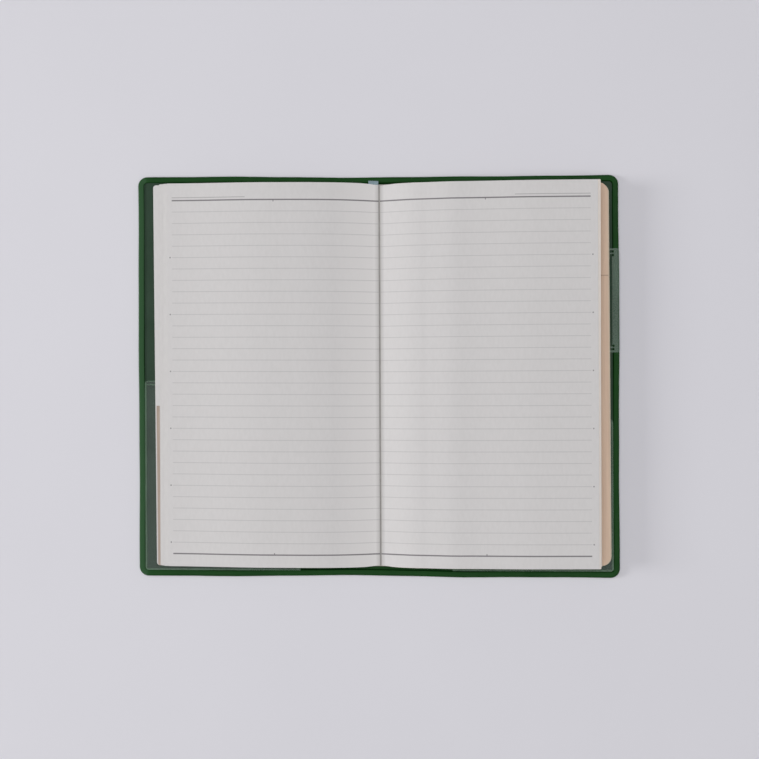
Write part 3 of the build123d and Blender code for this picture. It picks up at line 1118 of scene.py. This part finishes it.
def in_slit(face):
    """A face of the long slit, or of the short ones at the two ends of the slot."""
    place = face.calc_center_median()
    from_end = min(place.y - slot_low.y, slot_high.y - place.y) / MM
    in_long = long_slit[0] < place.x < long_slit[1] and from_end > slit_ends[-1][1]
    at_end = any(near < from_end < far for near, far in slit_ends)
    return in_long or (at_end and slit_span[0] < place.x < slit_span[1])


def climb_bead(point):
    """Flat on the sleeve, then up over the bead and a little down its outer side."""
    rise = smooth_step((point.x - bead_inner) / climb_run + climb_lead)
    fall = smooth_step((point.x - slot_edge) / fall_run + 1)
    wave = waves(point.y, *slot_waves) * MM
    climb = (rim_top + bead_clearance - slot_high.z) * rise
    z = slot_high.z + climb - fall_depth * fall + wave * (1 - rise)
    return Vector((eased_x(point.x, point.y), point.y, z))


edit_piece(slot)
pick(slot, "FACE", in_slit)
bpy.ops.mesh.delete(type="FACE")
select_only(slot)
mould(slot, climb_bead)
thicken(slot, slot_thickness, offset=1)
dress(slot, "clear_vinyl", slot_film)
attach(slot, "back_cover")
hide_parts("back_card_slot")

# %% [markdown]
# ## The ribbon
#
# A narrow woven ribbon is glued into the back, bends over its head close to the cover's bead and runs down
# between the leaves under the open page. It is a flat grid, moulded along a bent line, thickened and
# smoothed. Its finish is a fine weave with a satin sheen.

# %% The ribbon
weave_depth = 0.06 * MM


def woven_satin(name, pale, deep):
    """Ribbon with fine ribs across and thin threads along."""
    finish, tree, shader = new_finish(name, Roughness=0.42, Sheen_Weight=0.3)
    place = add_node(tree, "ShaderNodeTexCoord").outputs["Object"]
    along = {"bands_direction": "X"}
    across = {"bands_direction": "Y"}
    ribs = add_node(tree, "ShaderNodeTexWave", across, Vector=place, Scale=700, Distortion=0.6)
    threads = add_node(tree, "ShaderNodeTexWave", along, Vector=place, Scale=520, Distortion=0.4)
    weave = times(tree, ribs.outputs["Fac"], threads.outputs["Fac"])
    feed(tree, shader, Base_Color=mix(tree, weave, deep, pale))
    add_bump(tree, shader, weave, 0.5, weave_depth)
    return finish


ribbon_satin = woven_satin("ribbon_satin", (0.40, 0.54, 0.60, 1), (0.14, 0.21, 0.24, 1))
ribbon_low, ribbon_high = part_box("ribbon_marker")
ribbon_spare = 0.15 * MM
ribbon_thickness = 0.12 * MM
ribbon_clearance = leaf_thickness + 0.10 * MM
tuck_level = 2.15 * MM
ribbon_line = [(ribbon_low.y - leaf_head, 1), (-80 * MM, 1), (-30 * MM, 1), (-6 * MM, 1), (-1.6 * MM, 1),
               (0.0, 1), (0.75 * MM, 0.93), (1.2 * MM, 0.7), (1.3 * MM, 0.45), (1.0 * MM, 0.2),
               (0.3 * MM, 0.05), (-1.5 * MM, 0), (-10 * MM, 0)]
profile_runs = spread(0, 20 * MM, 200)
open_profile = [leaf_place("front", open_height["front"], run) for run in profile_runs]

ribbon = start_piece("ribbon", bpy.ops.mesh.primitive_grid_add, x_subdivisions=8,
                     y_subdivisions=len(ribbon_line) - 1)
select_only(ribbon)


def under_leaf(x):
    """How high the ribbon lies under the open front leaf."""
    nearest = min(open_profile, key=lambda place: abs(place[0] - x))
    return nearest[1] - ribbon_clearance


def run_ribbon(point):
    """Leads the strip along its line, from its bed under the leaf over the head and into the back."""
    past_head, share = ribbon_line[round((point.y + 0.5) * (len(ribbon_line) - 1))]
    y = leaf_head + past_head
    x = ribbon_low.x - ribbon_spare + (point.x + 0.5) * (ribbon_high.x - ribbon_low.x + 2 * ribbon_spare)
    return racked_point(x, y, tuck_level + share * (under_leaf(x) - tuck_level))


mould(ribbon, run_ribbon)
thicken(ribbon, ribbon_thickness, offset=0)
apply_modifier(ribbon, "SUBSURF", levels=2, render_levels=2)
dress(ribbon, "ribbon", ribbon_satin, angle=60)
follow_section(ribbon, "front", top_stack["front"])
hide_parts("ribbon_marker")

# %% [markdown]
# ## Hidden pieces of the frame
#
# The cards in the sleeves, the lining and the sewing threads keep their shapes from the frame. They only need
# finishes: grey board with flecks, open cloth and twisted thread.

# %% Hidden pieces of the frame
fleck_depth = 0.08 * MM


def flecked(name, pale, dark, scale, bump):
    """A matt finish of fine flecks."""
    finish, tree, shader = new_finish(name, Roughness=0.88, Specular_IOR_Level=0.25)
    flecks = object_noise(tree, scale, 4)
    feed(tree, shader, Base_Color=mix(tree, ramp(tree, flecks, 0.35, 0.65), pale, dark))
    add_bump(tree, shader, flecks, bump, fleck_depth)
    return finish


grey_board = flecked("grey_board", (0.56, 0.53, 0.47, 1), (0.44, 0.41, 0.36, 1), 700, 0.3)
lining_cloth = flecked("lining_cloth", (0.78, 0.75, 0.68, 1), (0.62, 0.59, 0.52, 1), 2200, 0.6)
sewing_thread = flecked("sewing_thread", (0.84, 0.82, 0.77, 1), (0.70, 0.67, 0.61, 1), 3000, 0.6)
node_finishes = {"front_card": grey_board, "back_card": grey_board, "spine_card": grey_board,
                 "back_lining": lining_cloth, "sewing_threads": sewing_thread}
for node, finish in node_finishes.items():
    mesh = frame["nodes"][node].data
    mesh.materials.clear()
    mesh.materials.append(finish)
print("finished frame pieces:", len(node_finishes))

# %% [markdown]
# ## Table, light and camera
#
# The book lies on a pale table. Most of the light is soft and comes from high all round, from four large
# lamps and the room itself. No lamp hangs straight above, so none glares back from the vinyl. A low window
# on the left casts the wide soft shadow on the right. The camera looks straight down, a trifle from the
# right, as the photograph was taken, and past the table it sees the same pale tone.

# %% Table and room
table_tone = (0.73, 0.72, 0.765, 1)
floor_finish, floor_tree, floor_shader = new_finish("pale_table", Roughness=0.75, Specular_IOR_Level=0.2)
floor_tone = mix(floor_tree, ramp(floor_tree, object_noise(floor_tree, 8, 3), 0.3, 0.7),
                 (0.715, 0.705, 0.75, 1), table_tone)
feed(floor_tree, floor_shader, Base_Color=floor_tone)
floor = start_piece("table", bpy.ops.mesh.primitive_plane_add, size=2.4)
select_only(floor)
floor.data.materials.append(floor_finish)

world = bpy.data.worlds.new("room")
bpy.context.scene.world = world
world.use_nodes = True
room = world.node_tree
room_light = room.nodes["Background"]
room_light.inputs["Color"].default_value = (0.98, 0.98, 1.0, 1)
room_light.inputs["Strength"].default_value = 0.25
backdrop = add_node(room, "ShaderNodeBackground", Color=table_tone, Strength=0.88)
rays = add_node(room, "ShaderNodeLightPath").outputs
seen = larger(room, rays["Is Camera Ray"], rays["Is Glossy Ray"])
seen = larger(room, seen, rays["Is Transmission Ray"])
either = add_node(room, "ShaderNodeMixShader", _0=seen, _1=room_light.outputs[0], _2=backdrop.outputs[0])
room.links.new(either.outputs[0], room.nodes["World Output"].inputs["Surface"])
print("room light", room_light.inputs["Strength"].default_value)

# %% Lamps and camera
def add_lamp(name, direction, height, size, power, distance=3.0):
    """A square soft lamp aimed at the book, from a direction and a height given in degrees."""
    around, up = math.radians(direction), math.radians(height)
    level = math.cos(up)
    place = Vector((math.cos(around) * level, math.sin(around) * level, math.sin(up))) * distance
    bpy.ops.object.select_all(action="DESELECT")
    bpy.ops.object.light_add(type="AREA", location=place)
    lamp = bpy.context.object
    lamp.name = name
    lamp.data.size = size
    lamp.data.energy = power
    lamp.rotation_euler = (-place).to_track_quat("-Z", "Y").to_euler()


add_lamp("window", direction=180, height=19, size=0.47, power=19.4, distance=2.0)
for number in range(4):
    add_lamp(f"soft_lamp_{number}", direction=45 + 90 * number, height=64, size=1.5, power=12.7)

sensor_width = 36
field_width = 332.57 * MM
camera_distance = 400 * MM
camera_tilt = math.radians(1.07)
aim = Vector((0.72 * MM, -1.35 * MM, 0))
bpy.ops.object.camera_add()
camera = bpy.context.object
camera.data.sensor_width = sensor_width
camera.data.lens = sensor_width * camera_distance / field_width
camera.data.clip_start = 0.01
camera.rotation_euler = (0, camera_tilt, 0)
camera.location = aim + Vector((math.sin(camera_tilt), 0, math.cos(camera_tilt))) * camera_distance
bpy.context.scene.camera = camera
bpy.context.scene.view_settings.view_transform = "Standard"
print("lens", round(camera.data.lens, 1), "mm")
